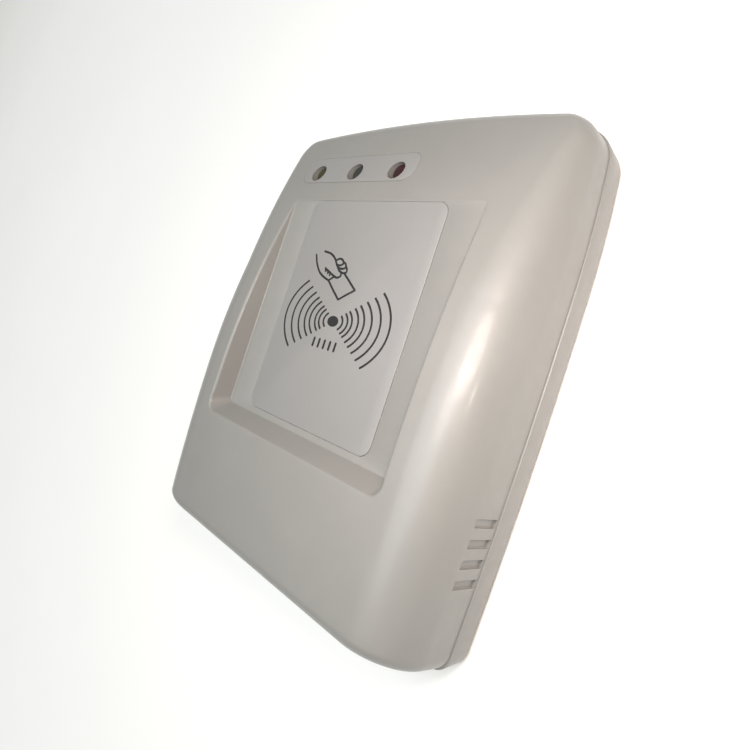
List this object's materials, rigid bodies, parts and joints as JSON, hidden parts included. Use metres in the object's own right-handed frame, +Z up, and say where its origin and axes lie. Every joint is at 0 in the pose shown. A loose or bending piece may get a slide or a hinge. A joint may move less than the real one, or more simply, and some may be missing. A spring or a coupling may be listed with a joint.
{
  "type": "rfid card reader",
  "caption": "Desktop contactless card reader: arched pale case with a sunk card tray, indicator holes, side cooling slots and a rear cable inlet.",
  "frame": {"origin": "centre of the case's footprint, on the surface that the feet stand on", "axes": "+Z up; -Y towards the user, the indicator end; +Y towards the cable inlet; the lit indicators are on the +X side"},
  "size_m": [0.0866, 0.1072, 0.0252],
  "materials": {
    "case_plastic": "satin moulded",
    "print_film": "satin film",
    "lens_green": "tinted clear",
    "lens_clear": "clear",
    "lens_red": "tinted clear",
    "nylon": "moulded",
    "laminate": "solder mask",
    "coil_wire": "enamelled copper",
    "epoxy": "moulded",
    "plated_steel": "nickel plated",
    "foot_rubber": "matte"
  },
  "bodies": {
    "root": {"top_cover": "case_plastic", "bottom_cover": "case_plastic", "face_label": "print_film", "led_label": "print_film", "rating_label": "print_film", "led_green": "lens_green", "led_clear": "lens_clear", "led_red": "lens_red", "led_spacer_1": "nylon", "led_spacer_2": "nylon", "led_spacer_3": "nylon", "main_pcb": "laminate", "antenna_coil": "coil_wire", "antenna_header": "nylon", "microcontroller": "epoxy", "reader_chip": "epoxy", "voltage_regulator": "epoxy", "crystal": "plated_steel", "capacitor_1": "epoxy", "capacitor_2": "epoxy", "buzzer": "epoxy", "usb_shell": "plated_steel", "usb_tongue": "nylon", "pcb_screw_1": "plated_steel", "pcb_screw_2": "plated_steel", "pcb_screw_3": "plated_steel", "pcb_screw_4": "plated_steel", "case_screw_1": "plated_steel", "case_screw_2": "plated_steel", "case_screw_3": "plated_steel", "case_screw_4": "plated_steel", "foot_1": "foot_rubber", "foot_2": "foot_rubber", "foot_3": "foot_rubber", "foot_4": "foot_rubber"}
  },
  "joints": []
}
